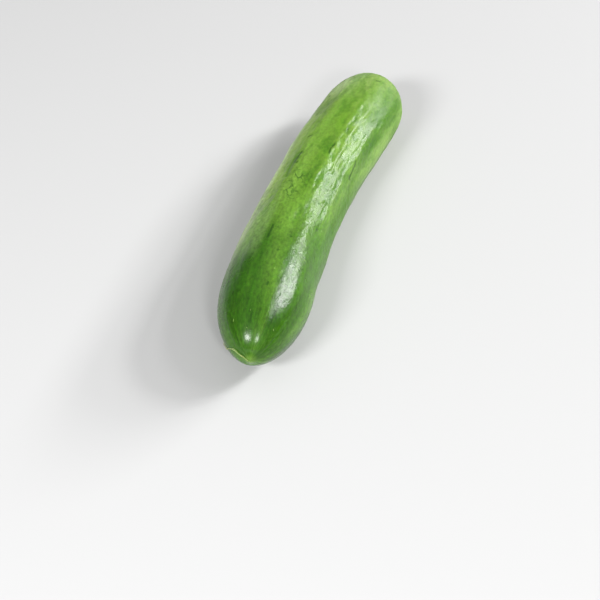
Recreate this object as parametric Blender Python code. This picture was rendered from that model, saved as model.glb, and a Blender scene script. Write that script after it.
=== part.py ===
"""Mini cucumber, as picked, lying on a surface.

Metres, +Z up. The fruit lies along X, with the blossom end at -X and the stem end at +X.
Its axis is bent in plan, so that both ends swing towards -Y. The origin is at the middle
of the fruit's box, on the surface that it lies on.

A point of the skin is given by its station, the distance along the bent axis from the
blossom end, and by its angle round the axis: 0 faces +Y and a quarter turn faces up.
"""
import math

import bmesh
import bpy
import numpy as np
from mathutils import Vector

# Fruit: length along the axis, turn of the axis from end to end, and place of its middle
LENGTH = 0.150
BEND = math.radians(23.4)
MIDDLE_X = 0.0002
MIDDLE_Y = 0.0021

# Radius of the belly by the blossom end, at half length and by the stem end
BLOSSOM_RADIUS = 0.0164
WAIST_RADIUS = 0.0148
STEM_RADIUS = 0.0150

# Each end is a half superellipse: how long it is, and its power (2 is round, more is blunt)
BLOSSOM_CAP = 0.0341
BLOSSOM_POWER = 1.89
STEM_CAP = 0.0253
STEM_POWER = 2.72

# Three seed chambers make the section slightly three-sided, with a flatter side below
CHAMBERS = 3
CHAMBER_SWELL = 0.012

# Shallow ribs run from end to end, lower by the blossom, and drift sideways on their way
RIBS = 10
BLOSSOM_RIB_HEIGHT = 0.00008
STEM_RIB_HEIGHT = 0.00022
RIB_DRIFT = 0.5

# Low swellings where the flesh grew unevenly: height, and length from crest to crest
SWELL_HEIGHT = 0.00022
LONG_SWELL = 0.052
SHORT_SWELL = 0.029

# Ribs, chambers and swellings fade out over this distance from each end
RELIEF_FADE = 0.024

# The fruit is sunk this far and cut level, which gives it the flat strip that it rests on
SINK = 0.0006

# Stem scar: a shallow cup with a raised rim, and a low pith in the middle
CUP_RADIUS = 0.0038
CUP_WALL = 0.0010
CUP_DEPTH = 0.0007
RIM_RADIUS = 0.0049
RIM_WIDTH = 0.0009
RIM_HEIGHT = 0.0004
PITH_RADIUS = 0.0012
PITH_HEIGHT = 0.0003

# Blossom scar: a small boss in a shallow ring
BOSS_RADIUS = 0.0013
BOSS_HEIGHT = 0.0004
RING_RADIUS = 0.0028
RING_WIDTH = 0.0008
RING_DEPTH = 0.0002

# Mesh of the fruit: sides round it, rings along it, and how much closer the rings are at
# each end, over what distance
SIDES = 80
RINGS = 56
END_DENSITY = 2.4
END_REACH = 0.007
PROFILE_SAMPLES = 2000

# Withered flower thread: its radius, its gap to the skin, and the station where it ends
THREAD_RADIUS = 0.00035
THREAD_GAP = 0.0003
THREAD_STATION = 0.0092

# The tip is blunt, so even steps along the skin go with this power of the share of the way
THREAD_POWER = 1.55

# Points along the thread, and how finely its round section is divided
THREAD_POINTS = 22
THREAD_BEVEL = 2

# It leaves the tip at one angle and swings to another between two shares of its way
THREAD_START_ANGLE = math.radians(19.5)
THREAD_SWING = math.radians(-35.0)
THREAD_SWING_START = 0.34
THREAD_SWING_END = 0.78
THREAD_FIRST_SHARE = 0.10
THREAD_WAVE = math.radians(2.5)
THREAD_WAVES = 3.5

# Steps used to measure the slope of the skin
STATION_STEP = 0.0001
ANGLE_STEP = math.radians(2.0)


def smooth(share):
    """Ease from 0 to 1 with level ends; outside 0 to 1 it stays level."""
    share = min(max(share, 0.0), 1.0)
    return share * share * (3.0 - 2.0 * share)


def hump(distance, width):
    """A rounded hump, 1 high, that falls away on both sides."""
    return math.exp(-(distance / width) ** 2)


def belly_radius(station):
    """Radius that the body would have without its rounded ends."""
    share = station / LENGTH
    to_blossom = (BLOSSOM_RADIUS - WAIST_RADIUS) * smooth(1.0 - 2.0 * share)
    to_stem = (STEM_RADIUS - WAIST_RADIUS) * smooth(2.0 * share - 1.0)
    return WAIST_RADIUS + to_blossom + to_stem


def cap_share(distance, cap, power):
    """How much of the belly's radius is left at a distance from the tip of an end."""
    inward = min(max(1.0 - distance / cap, 0.0), 1.0)
    return (1.0 - inward ** power) ** (1.0 / power)


def round_radius(station):
    """Radius of the plain body, with both rounded ends."""
    blossom = cap_share(station, BLOSSOM_CAP, BLOSSOM_POWER)
    stem = cap_share(LENGTH - station, STEM_CAP, STEM_POWER)
    return belly_radius(station) * blossom * stem


def relief(station, angle):
    """Height of ribs, chambers and swellings above the plain body."""
    share = station / LENGTH
    fade = smooth(station / RELIEF_FADE) * smooth((LENGTH - station) / RELIEF_FADE)
    chambers = CHAMBER_SWELL * belly_radius(station) * math.cos(CHAMBERS * (angle - math.pi / 2))
    rib_height = BLOSSOM_RIB_HEIGHT + (STEM_RIB_HEIGHT - BLOSSOM_RIB_HEIGHT) * share
    ribs = rib_height * math.cos(RIBS * angle + RIB_DRIFT * math.sin(math.tau * share))
    long_swell = math.sin(math.tau * station / LONG_SWELL + 2 * angle)
    short_swell = math.sin(math.tau * station / SHORT_SWELL - 3 * angle)
    swells = SWELL_HEIGHT * (0.6 * long_swell + 0.4 * short_swell)
    return fade * (chambers + ribs + swells)


def stem_scar(radius):
    """How far the stem scar stands out along the axis, at a radius from its middle."""
    cup = -CUP_DEPTH * smooth((CUP_RADIUS + CUP_WALL - radius) / CUP_WALL)
    rim = RIM_HEIGHT * hump(radius - RIM_RADIUS, RIM_WIDTH)
    return cup + rim + PITH_HEIGHT * hump(radius, PITH_RADIUS)


def blossom_scar(radius):
    """How far the blossom scar stands out along the axis, at a radius from its middle."""
    return BOSS_HEIGHT * hump(radius, BOSS_RADIUS) - RING_DEPTH * hump(radius - RING_RADIUS, RING_WIDTH)


def skin_point(station, angle):
    """Place of a point of the skin, before the underside is cut level."""
    heading = BEND * (station / LENGTH - 0.5)
    bend_radius = LENGTH / BEND
    along = Vector((math.cos(heading), -math.sin(heading), 0.0))
    across = Vector((math.sin(heading), math.cos(heading), 0.0))
    up = Vector((0.0, 0.0, 1.0))
    centre = Vector((
        MIDDLE_X + bend_radius * math.sin(heading),
        MIDDLE_Y - bend_radius * (1.0 - math.cos(heading)),
        belly_radius(station) - SINK,
    ))
    radius = round_radius(station) + relief(station, angle)
    outwards = across * math.cos(angle) + up * math.sin(angle)
    if station < LENGTH / 2:
        scar = along * -blossom_scar(radius)
    else:
        scar = along * stem_scar(radius)
    return centre + outwards * radius + scar


def skin_normal(station, angle):
    """Direction straight out of the skin."""
    before = skin_point(station - STATION_STEP, angle)
    after = skin_point(station + STATION_STEP, angle)
    right = skin_point(station, angle - ANGLE_STEP)
    left = skin_point(station, angle + ANGLE_STEP)
    return (left - right).cross(after - before).normalized()


def ring_stations():
    """Stations of the rings: even along the profile, and closer together at both ends."""
    half_turns = np.linspace(0.0, math.pi, PROFILE_SAMPLES)
    stations = 0.5 * LENGTH * (1.0 - np.cos(half_turns))
    radii = np.array([round_radius(station) for station in stations])
    steps = np.hypot(np.diff(stations), np.diff(radii))
    run = np.concatenate([[0.0], np.cumsum(steps)])
    nearest_end = np.minimum(run, run[-1] - run)[1:]
    weighted = steps * (1.0 + END_DENSITY * np.exp(-nearest_end / END_REACH))
    count = np.concatenate([[0.0], np.cumsum(weighted)])
    return np.interp(np.linspace(0.0, count[-1], RINGS + 1), count, stations)


def material(name, colour, roughness):
    """A Principled material with one colour."""
    made = bpy.data.materials.new(name)
    made.use_nodes = True
    shader = made.node_tree.nodes["Principled BSDF"]
    shader.inputs["Base Color"].default_value = (*colour, 1.0)
    shader.inputs["Roughness"].default_value = roughness
    shader.inputs["Metallic"].default_value = 0.0
    return made


def make_fruit(collection):
    """The whole fruit: a UV sphere drawn out along the bent axis, then cut level below."""
    ball = bmesh.new()
    bmesh.ops.create_uvsphere(ball, u_segments=SIDES, v_segments=RINGS, radius=1.0)
    stations = ring_stations()
    for vertex in ball.verts:
        polar = math.acos(min(max(vertex.co.z, -1.0), 1.0))
        ring = round(polar / math.pi * RINGS)
        angle = math.atan2(vertex.co.y, vertex.co.x)
        place = skin_point(float(stations[ring]), angle)
        place.z = max(place.z, 0.0)
        vertex.co = place
    bmesh.ops.recalc_face_normals(ball, faces=ball.faces)
    mesh = bpy.data.meshes.new("cucumber")
    ball.to_mesh(mesh)
    ball.free()
    mesh.shade_smooth()
    mesh.materials.append(material("cucumber_skin", (0.13, 0.28, 0.04), 0.32))
    collection.objects.link(bpy.data.objects.new("cucumber", mesh))


def make_thread(collection):
    """The withered flower thread: it leaves the tip and lies along the skin."""
    route = []
    for share in np.linspace(THREAD_FIRST_SHARE, 1.0, THREAD_POINTS):
        swing = (share - THREAD_SWING_START) / (THREAD_SWING_END - THREAD_SWING_START)
        wave = THREAD_WAVE * math.sin(math.tau * THREAD_WAVES * share)
        angle = THREAD_START_ANGLE + THREAD_SWING * smooth(swing) + wave
        station = THREAD_STATION * share ** THREAD_POWER
        raised = skin_normal(station, angle) * (THREAD_GAP + THREAD_RADIUS)
        route.append(skin_point(station, angle) + raised)

    curve = bpy.data.curves.new("flower_thread", "CURVE")
    curve.dimensions = "3D"
    curve.bevel_depth = THREAD_RADIUS
    curve.bevel_resolution = THREAD_BEVEL
    curve.use_fill_caps = True
    spline = curve.splines.new("POLY")
    spline.points.add(len(route) - 1)
    for point, place in zip(spline.points, route):
        point.co = (*place, 1.0)
    curve.materials.append(material("dried_flower", (0.50, 0.52, 0.22), 0.7))
    collection.objects.link(bpy.data.objects.new("flower_thread", curve))


def build():
    """Clear the scene and make both pieces."""
    for old in list(bpy.data.objects):
        bpy.data.objects.remove(old)
    collection = bpy.data.collections.new("mini_cucumber")
    bpy.context.scene.collection.children.link(collection)
    make_fruit(collection)
    make_thread(collection)


build()
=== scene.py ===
"""Mini cucumber, as picked, lying on a pale surface under soft studio light.

Metres, +Z up. The fruit lies along X, with its blossom end at -X and its stem end at +X.
A point of its skin has a station, the distance along the bent axis from the blossom end,
and an angle round the axis: 0 faces +Y and a quarter turn faces up.
"""
import math
import random

import bmesh
import bpy
from mathutils import Matrix, Vector


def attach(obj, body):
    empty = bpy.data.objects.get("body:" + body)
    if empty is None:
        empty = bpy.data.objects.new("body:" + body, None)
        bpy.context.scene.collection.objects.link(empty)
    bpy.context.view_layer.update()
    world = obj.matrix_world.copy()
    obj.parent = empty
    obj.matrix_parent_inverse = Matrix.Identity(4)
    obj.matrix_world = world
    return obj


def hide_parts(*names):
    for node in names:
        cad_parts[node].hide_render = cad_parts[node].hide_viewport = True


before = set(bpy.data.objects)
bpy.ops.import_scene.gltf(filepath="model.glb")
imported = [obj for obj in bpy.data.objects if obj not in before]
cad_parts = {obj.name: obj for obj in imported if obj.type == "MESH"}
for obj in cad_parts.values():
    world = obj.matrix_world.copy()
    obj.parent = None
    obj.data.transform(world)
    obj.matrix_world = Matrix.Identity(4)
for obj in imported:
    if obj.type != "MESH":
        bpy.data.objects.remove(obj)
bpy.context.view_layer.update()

# Camera. It looks down on the fruit from the blossom end, as the photograph does, through a
# long lens, and shows the fruit at the photograph's place and size in a 600 by 600 picture.
FRUIT_MIDDLE = Vector((0.0002, 0.0021, 0.0))
VIEW_AZIMUTH = math.radians(-71.3)
VIEW_ELEVATION = math.radians(46.0)
VIEW_ANGLE = math.radians(24.0)
VIEW_DISTANCE = 0.512
MIDDLE_PIXEL = (301.9, 238.2)
PICTURE_SIDE = 600
SENSOR = 36.0

backwards = Vector((
    math.sin(VIEW_AZIMUTH) * math.cos(VIEW_ELEVATION),
    -math.cos(VIEW_AZIMUTH) * math.cos(VIEW_ELEVATION),
    math.sin(VIEW_ELEVATION),
))
rightwards = Vector((math.cos(VIEW_AZIMUTH), math.sin(VIEW_AZIMUTH), 0.0))
upwards = backwards.cross(rightwards)
pixel = 2 * VIEW_DISTANCE * math.tan(VIEW_ANGLE / 2) / PICTURE_SIDE
to_right = (MIDDLE_PIXEL[0] - PICTURE_SIDE / 2) * pixel
to_top = (PICTURE_SIDE / 2 - MIDDLE_PIXEL[1]) * pixel

camera_data = bpy.data.cameras.new("camera")
camera_data.sensor_width = SENSOR
camera_data.lens = SENSOR / 2 / math.tan(VIEW_ANGLE / 2)
camera = bpy.data.objects.new("camera", camera_data)
camera.location = FRUIT_MIDDLE + backwards * VIEW_DISTANCE - rightwards * to_right - upwards * to_top
camera.rotation_mode = "QUATERNION"
camera.rotation_quaternion = (-backwards).to_track_quat("-Z", "Y")
bpy.context.scene.collection.objects.link(camera)
bpy.context.scene.camera = camera

# Fruit. It grew as one piece: a thin, smooth, waxy skin over juicy flesh. Its body is a
# half outline turned round the axis, bent with the axis, and cut level where it rests.

# The caps say how far its rounded ends reach, the powers how full they are, the sink how
# much of the belly is cut off, and the outline length runs from tip to tip over the skin.
BODY_SIZES = {
    "Length": 0.150,
    "Bend": math.radians(23.4),
    "Middle X": FRUIT_MIDDLE.x,
    "Middle Y": FRUIT_MIDDLE.y,
    "Blossom radius": 0.0164,
    "Waist radius": 0.0148,
    "Stem radius": 0.0150,
    "Blossom cap": 0.0341,
    "Blossom power": 1.89,
    "Stem cap": 0.0253,
    "Stem power": 2.72,
    "Sink": 0.0006,
    "Outline length": 0.1648,
    "Outline points": 3000,
}
FRUIT_SIZES = {
    **BODY_SIZES,
    "Relief fade": 0.024,
    "Blossom rib": 0.00008,
    "Stem rib": 0.00022,
    "Ribs": 10,
    "Rib drift": 0.5,
    "Rib gap": 0.051,
    "Rib gap width": 0.011,
    "Rib gap turn": -0.9,
    "Cup radius": 0.0038,
    "Cup wall": 0.0010,
    "Cup depth": 0.0007,
    "Rings": 321,
    "Sides": 305,
}


def add(tree, kind, inputs=(), output=0, **settings):
    """Add a node with its settings, feed its inputs, and give back one of its outputs.

    The inputs come in the node's own order, or by name or number.
    """
    made = tree.nodes.new(kind)
    for name, value in settings.items():
        setattr(made, name, value)
    by_socket = inputs if isinstance(inputs, dict) else dict(enumerate(inputs))
    for socket, value in by_socket.items():
        if isinstance(value, bpy.types.NodeSocket):
            tree.links.new(value, made.inputs[socket])
        else:
            made.inputs[socket].default_value = value
    return made.outputs[output]


def new_tree(name, sizes):
    """An empty Geometry Nodes tree with a named input for each size."""
    tree = bpy.data.node_groups.new(name, "GeometryNodeTree")
    tree.interface.new_socket("Geometry", in_out="OUTPUT", socket_type="NodeSocketGeometry")
    for label, value in sizes.items():
        kind = "NodeSocketInt" if isinstance(value, int) else "NodeSocketFloat"
        tree.interface.new_socket(label, in_out="INPUT", socket_type=kind)
    return tree, tree.nodes.new("NodeGroupInput").outputs


def grow(name, tree, sizes, geometry, material):
    """End a tree in smooth, real geometry, run it, and keep the result as a piece's mesh."""
    smooth = add(tree, "GeometryNodeSetShadeSmooth", {"Geometry": geometry})
    real = add(tree, "GeometryNodeRealizeInstances", {"Geometry": smooth})
    dressed = add(tree, "GeometryNodeSetMaterial", {"Geometry": real, "Material": material})
    tree.links.new(dressed, tree.nodes.new("NodeGroupOutput").inputs["Geometry"])
    piece = bpy.data.objects.new(name, bpy.data.meshes.new(name))
    bpy.context.scene.collection.objects.link(piece)
    modifier = piece.modifiers.new("grow", "NODES")
    modifier.node_group = tree
    for socket in tree.interface.items_tree:
        if socket.in_out == "INPUT":
            modifier[socket.identifier] = sizes[socket.name]
    depsgraph = bpy.context.evaluated_depsgraph_get()
    result = bpy.data.meshes.new_from_object(
        piece.evaluated_get(depsgraph), preserve_all_data_layers=True, depsgraph=depsgraph
    )
    piece.modifiers.remove(modifier)
    piece.data = result
    result.name = name
    return piece


def belly_radius(tree, size, station):
    """Radius of the body at a station, without its rounded ends."""
    middle = add(tree, "ShaderNodeMath", (size["Length"], 0.5), operation="MULTIPLY")
    blossom_half = add(tree, "ShaderNodeMapRange", {
        "Value": station, "From Max": middle,
        "To Min": size["Blossom radius"], "To Max": size["Waist radius"],
    }, interpolation_type="SMOOTHSTEP")
    gain = add(tree, "ShaderNodeMath", (size["Stem radius"], size["Waist radius"]), operation="SUBTRACT")
    stem_half = add(tree, "ShaderNodeMapRange", {
        "Value": station, "From Min": middle, "From Max": size["Length"], "To Max": gain,
    }, interpolation_type="SMOOTHSTEP")
    return add(tree, "ShaderNodeMath", (blossom_half, stem_half))


def stepped_line(tree, points):
    """A straight curve with evenly spaced points, and the share of the way at each."""
    line = add(tree, "GeometryNodeCurvePrimitiveLine")
    stepped = add(tree, "GeometryNodeResampleCurve", {"Curve": line, "Count": points})
    return stepped, add(tree, "GeometryNodeSplineParameter", (), "Factor")


def half_outline(tree, size):
    """The fruit's half outline as a curve: X is the station, and Y the radius there."""
    curve, share = stepped_line(tree, size["Outline points"])
    turn = add(tree, "ShaderNodeMath", (share, math.pi), operation="MULTIPLY")
    swing = add(tree, "ShaderNodeMath", (turn,), operation="COSINE")
    station = add(tree, "ShaderNodeMapRange", {
        "Value": swing, "From Min": 1.0, "From Max": -1.0, "To Max": size["Length"],
    })
    from_stem = add(tree, "ShaderNodeMath", (size["Length"], station), operation="SUBTRACT")
    radius = belly_radius(tree, size, station)
    for end, distance in (("Blossom", station), ("Stem", from_stem)):
        power = size[end + " power"]
        inward = add(tree, "ShaderNodeMapRange", {
            "Value": distance, "From Max": size[end + " cap"], "To Min": 1.0, "To Max": 0.0,
        })
        lost = add(tree, "ShaderNodeMath", (inward, power), operation="POWER")
        kept = add(tree, "ShaderNodeMath", (1.0, lost), operation="SUBTRACT")
        root = add(tree, "ShaderNodeMath", (1.0, power), operation="DIVIDE")
        left = add(tree, "ShaderNodeMath", (kept, root), operation="POWER")
        radius = add(tree, "ShaderNodeMath", (radius, left), operation="MULTIPLY")
    point = add(tree, "ShaderNodeCombineXYZ", {"X": station, "Y": radius})
    return add(tree, "GeometryNodeSetPosition", {"Geometry": curve, "Position": point})


def outline_place(tree, outline, share):
    """Station and radius at a share of the way along the half outline."""
    place = add(tree, "GeometryNodeSampleCurve", {
        "Curves": outline, "Factor": share,
    }, "Position", mode="FACTOR")
    station, radius, _ = add(tree, "ShaderNodeSeparateXYZ", (place,)).node.outputs
    return station, radius


def straight_point(tree, station, radius, angle):
    """A point of the fruit before it is bent, with the axis along X."""
    cosine = add(tree, "ShaderNodeMath", (angle,), operation="COSINE")
    sine = add(tree, "ShaderNodeMath", (angle,), operation="SINE")
    across = add(tree, "ShaderNodeMath", (radius, cosine), operation="MULTIPLY")
    up = add(tree, "ShaderNodeMath", (radius, sine), operation="MULTIPLY")
    return add(tree, "ShaderNodeCombineXYZ", {"X": station, "Y": across, "Z": up})


def bent_point(tree, size, straight):
    """The place of a straight point once the axis is bent and the fruit lies down."""
    station, across, up = add(tree, "ShaderNodeSeparateXYZ", (straight,)).node.outputs
    share = add(tree, "ShaderNodeMath", (station, size["Length"]), operation="DIVIDE")
    from_middle = add(tree, "ShaderNodeMath", (0.5, share), operation="SUBTRACT")
    heading = add(tree, "ShaderNodeMath", (from_middle, size["Bend"]), operation="MULTIPLY")
    bend_radius = add(tree, "ShaderNodeMath", (size["Length"], size["Bend"]), operation="DIVIDE")
    pivot_y = add(tree, "ShaderNodeMath", (size["Middle Y"], bend_radius), operation="SUBTRACT")
    pivot = add(tree, "ShaderNodeCombineXYZ", {"X": size["Middle X"], "Y": pivot_y})
    belly = belly_radius(tree, size, station)
    height = add(tree, "ShaderNodeMath", (belly, size["Sink"]), operation="SUBTRACT")
    axis = add(tree, "ShaderNodeCombineXYZ", {"X": size["Middle X"], "Y": size["Middle Y"], "Z": height})
    section = add(tree, "ShaderNodeCombineXYZ", {"Y": across, "Z": up})
    beside = add(tree, "ShaderNodeVectorMath", (axis, section))
    return add(tree, "ShaderNodeVectorRotate", {
        "Vector": beside, "Center": pivot, "Axis": (0.0, 0.0, 1.0), "Angle": heading,
    })


# Chambers and swellings: height, waves round the fruit, waves along a metre, and phase
BODY_WAVES = (
    (0.000185, 3, 0.0, math.pi),
    (0.000132, 2, 1 / 0.052, 0.0),
    (0.000088, -3, 1 / 0.029, 0.0),
)


def body_relief(tree, size, station, angle):
    """Height of chambers, swellings and ribs above the plain body."""
    relief = 0.0
    for height, round_waves, metre_waves, phase in BODY_WAVES:
        turn = add(tree, "ShaderNodeMath", (angle, round_waves, phase), operation="MULTIPLY_ADD")
        wave = add(tree, "ShaderNodeMath", (station, math.tau * metre_waves, turn), operation="MULTIPLY_ADD")
        crest = add(tree, "ShaderNodeMath", (wave,), operation="SINE")
        relief = add(tree, "ShaderNodeMath", (crest, height, relief), operation="MULTIPLY_ADD")

    # Ribs drift sideways on their way, and turn into furrows at the gap
    share = add(tree, "ShaderNodeMath", (station, size["Length"]), operation="DIVIDE")
    lengthwise = add(tree, "ShaderNodeMath", (share, math.tau), operation="MULTIPLY")
    sway = add(tree, "ShaderNodeMath", (lengthwise,), operation="SINE")
    drift = add(tree, "ShaderNodeMath", (sway, size["Rib drift"]), operation="MULTIPLY")
    turn = add(tree, "ShaderNodeMath", (angle, size["Ribs"], drift), operation="MULTIPLY_ADD")
    crest = add(tree, "ShaderNodeMath", (turn,), operation="COSINE")
    rib = add(tree, "ShaderNodeMapRange", {
        "Value": share, "To Min": size["Blossom rib"], "To Max": size["Stem rib"],
    })
    from_gap = add(tree, "ShaderNodeMath", (station, size["Rib gap"]), operation="SUBTRACT")
    widths = add(tree, "ShaderNodeMath", (from_gap, size["Rib gap width"]), operation="DIVIDE")
    square = add(tree, "ShaderNodeMath", (widths, widths), operation="MULTIPLY")
    left = add(tree, "ShaderNodeMapRange", {"Value": square, "To Min": size["Rib gap turn"]})
    rib = add(tree, "ShaderNodeMath", (rib, left), operation="MULTIPLY")
    relief = add(tree, "ShaderNodeMath", (crest, rib, relief), operation="MULTIPLY_ADD")

    # All of it fades out towards each end
    from_stem = add(tree, "ShaderNodeMath", (size["Length"], station), operation="SUBTRACT")
    for distance in (station, from_stem):
        fade = add(tree, "ShaderNodeMapRange", {
            "Value": distance, "From Max": size["Relief fade"],
        }, interpolation_type="SMOOTHSTEP")
        relief = add(tree, "ShaderNodeMath", (relief, fade), operation="MULTIPLY")
    return relief


# Rings of relief round each tip: radius of the ring, half its width, and its height
STEM_RINGS = ((0.0049, 0.0009, 0.0004),)
BLOSSOM_RINGS = ((0.0, 0.0013, 0.0004), (0.0028, 0.0008, -0.0002))


def ring_relief(tree, rings, radius):
    """Height of the rounded rings round a tip, at a radius from its middle."""
    relief = 0.0
    for ring_radius, width, height in rings:
        apart = add(tree, "ShaderNodeMath", (radius, ring_radius), operation="SUBTRACT")
        widths = add(tree, "ShaderNodeMath", (apart, width), operation="DIVIDE")
        square = add(tree, "ShaderNodeMath", (widths, widths), operation="MULTIPLY")
        fall = add(tree, "ShaderNodeMath", (square, -1.0), operation="MULTIPLY")
        hump = add(tree, "ShaderNodeMath", (fall,), operation="EXPONENT")
        relief = add(tree, "ShaderNodeMath", (hump, height, relief), operation="MULTIPLY_ADD")
    return relief


# Long folds in the skin, as places on it: station, and angle in degrees. These show in the
# photograph, and a seeded draw adds more on all sides: how many, the stations and angles
# between which they start, their length or the shortest and longest, and their sway.
SEEN_FOLDS = (
    ((0.058, 134), (0.070, 137), (0.082, 139), (0.094, 136), (0.104, 140), (0.120, 137)),
    ((0.062, 109), (0.070, 109), (0.076, 111), (0.083, 112), (0.094, 113), (0.104, 112), (0.124, 113)),
    ((0.064, 101), (0.076, 100), (0.094, 104), (0.108, 102)),
    ((0.060, 149), (0.075, 147), (0.090, 150), (0.100, 152)),
)
MORE_FOLDS = (11, (0.020, 0.090), (-80, 250), (0.02, 0.05), 2.5)
FOLD_HALF_WIDTH = 0.0012
FOLD_DEPTH = 0.00011

# Short ridges between the folds, placed in the same way
SEEN_RIDGES = (
    ((0.067, 103), (0.075, 105), (0.083, 106)),
    ((0.086, 106), (0.094, 107)),
    ((0.097, 105), (0.104, 107)),
    ((0.109, 106), (0.121, 108)),
    ((0.059, 143), (0.070, 144), (0.083, 144)),
    ((0.092, 146), (0.099, 145)),
    ((0.109, 144), (0.118, 144)),
    ((0.084, 121), (0.098, 119), (0.111, 121), (0.127, 120)),
)
MORE_RIDGES = (9, (0.050, 0.115), (-80, 250), (0.006, 0.014), 1.5)
RIDGE_HALF_WIDTH = 0.0013
RIDGE_HEIGHT = 0.00020

# Folds and ridges waver: blots of noise to a metre, detail, and how far. They come and go:
# blots to a metre, and the noise values between which they come in, with what is always left.
WAVER_NOISE = (190.0, 1.0)
WAVER_REACH = 0.0016
COME_AND_GO_NOISE = {"Scale": 110.0, "Detail": 0.0}
COME_AND_GO = {"From Min": 0.36, "From Max": 0.58, "To Min": 0.15}

# Nicks in the skin that have healed, placed in the same way: pits and dark creases
SEEN_NICKS = (
    ((0.0824, 72), (0.0830, 73)),
    ((0.0358, 99), (0.0365, 100)),
    ((0.0205, 99), (0.0217, 100)),
    ((0.1382, 103), (0.1390, 107)),
    ((0.0982, 69), (0.0985, 71)),
    ((0.0449, 108), (0.0453, 109)),
    ((0.0420, 81), (0.0450, 82), (0.0482, 82)),
    ((0.0890, 153), (0.0930, 150), (0.0965, 148), (0.0975, 146)),
)
MORE_PITS = (16, (0.015, 0.140), (-80, 250), (0.0005,), 2.0)
MORE_CREASES = (6, (0.020, 0.120), (-70, 240), (0.0060,), 3.0)
NICK_HALF_WIDTH = 0.00052
NICK_DEPTH = 0.00010

# Furrows that run in to each tip: angles of those by the blossom, how many there are by the
# stem and how far those stray from even spacing, the start, length and sway of each kind,
# half their width as seen on the belly, depth, and the radii between which they come in
BLOSSOM_FURROWS = (28, 55, 150, 181, 219, 252, 290, 325)
STEM_FURROWS = 12
STEM_FURROW_STRAY = 0.25
BLOSSOM_FURROW_RUN = (0.0, 0.013, 3.0)
STEM_FURROW_RUN = (0.138, 0.012, 3.0)
FURROW_HALF_WIDTH = 0.0013
FURROW_DEPTH = 0.00006
FURROW_RADII = {"From Min": 0.0016, "From Max": 0.0036}

# All these lines: the seed of the drawn ones, how far apart their places are, and the radius
# at which the skin is unrolled, so that an angle becomes a distance
LINE_SEED = 11
LINE_STEP = 0.004
UNROLL_RADIUS = 0.015


def wandering_line(draw, angle, station, length, sway):
    """Places along a line that runs lengthwise over the skin and sways on its way."""
    steps = max(1, round(length / LINE_STEP))
    line = [(station, angle)]
    for _ in range(steps):
        station += length / steps
        angle += draw.uniform(-sway, sway)
        line.append((station, angle))
    return line


def more_lines(draw, count, stations, angles, lengths, sway):
    """Wandering lines at drawn places. Where there is one length, all of them have it."""
    lines = []
    for _ in range(count):
        station = draw.uniform(*stations)
        angle = draw.uniform(*angles)
        length = draw.uniform(*lengths) if len(lengths) == 2 else lengths[0]
        lines.append(wandering_line(draw, angle, station, length, sway))
    return lines


def unrolled_lines(lines):
    """Lines on the skin as edges of a flat mesh: X is the station, and Y the way round."""
    drawn = bmesh.new()
    for line in lines:
        places = [(station, math.radians(angle) * UNROLL_RADIUS, 0.0) for station, angle in line]
        corners = [drawn.verts.new(place) for place in places]
        for before, after in zip(corners, corners[1:]):
            drawn.edges.new((before, after))
    mesh = bpy.data.meshes.new("skin_lines")
    drawn.to_mesh(mesh)
    drawn.free()
    return bpy.data.objects.new("skin_lines", mesh)


def fade_away(tree, distance, near, far, strength=1.0):
    """A strength that holds up to one distance, and has smoothly faded away at another."""
    return add(tree, "ShaderNodeMapRange", {
        "Value": distance, "From Min": near, "From Max": far, "To Min": strength, "To Max": 0.0,
    }, interpolation_type="SMOOTHSTEP")


def nearness(tree, lines, place, half_width):
    """1 on the lines, falling to 0 at half their width."""
    edges = add(tree, "GeometryNodeObjectInfo", {"Object": lines}, "Geometry")
    distance = add(tree, "GeometryNodeProximity", {
        "Geometry": edges, "Sample Position": place,
    }, "Distance", target_element="EDGES")
    return fade_away(tree, distance, 0.0, half_width)


# Bumps and dents: how far each is drawn out lengthwise (less is longer), how many to a metre
# across, how much finer detail, and height. They are lower by the blossom end: the stations
# between which they rise, and their share of the height before and after.
BUMPS = (
    (0.75, 900.0, 0.0, 0.00018),
    (0.45, 460.0, 0.0, 0.00021),
    (0.45, 150.0, 0.5, 0.00052),
)
BUMPS_ALONG = ((0.002, 0.020, 0.12, 0.40), (0.035, 0.062, 0.40, 1.00))

# Points of a rolled up sheet that are nearer than this are joined
SEAM_GAP = 0.000001


def drawn_out_noise(tree, place, stretch, scale, detail):
    """Noise from 0 to 1 that is drawn out lengthwise."""
    drawn_out = add(tree, "ShaderNodeVectorMath", (place, (stretch, 1.0, 1.0)), operation="MULTIPLY")
    return add(tree, "ShaderNodeTexNoise", {"Vector": drawn_out, "Scale": scale, "Detail": detail})


def add_noise(tree, total, place, stretch, scale, detail, height):
    """Add drawn out noise to a total, as far down as up."""
    noise = drawn_out_noise(tree, place, stretch, scale, detail)
    centred = add(tree, "ShaderNodeMath", (noise, 0.5), operation="SUBTRACT")
    return add(tree, "ShaderNodeMath", (centred, height, total), operation="MULTIPLY_ADD")


def centred_noise(tree, place, scale, detail):
    """Noise as a vector, from -0.5 to 0.5 each way."""
    noise = add(tree, "ShaderNodeTexNoise", {"Vector": place, "Scale": scale, "Detail": detail}, "Color")
    return add(tree, "ShaderNodeVectorMath", (noise, (0.5, 0.5, 0.5)), operation="SUBTRACT")


def round_sheet(tree, rings, sides):
    """A flat grid to roll up round the axis, and how far along and across each point is."""
    sheet = add(tree, "GeometryNodeMeshGrid", {
        "Size X": 1.0, "Size Y": 1.0, "Vertices X": rings, "Vertices Y": sides,
    })
    position = add(tree, "GeometryNodeInputPosition")
    along, across, _ = add(tree, "ShaderNodeSeparateXYZ", (position,)).node.outputs
    return sheet, along, across


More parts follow.
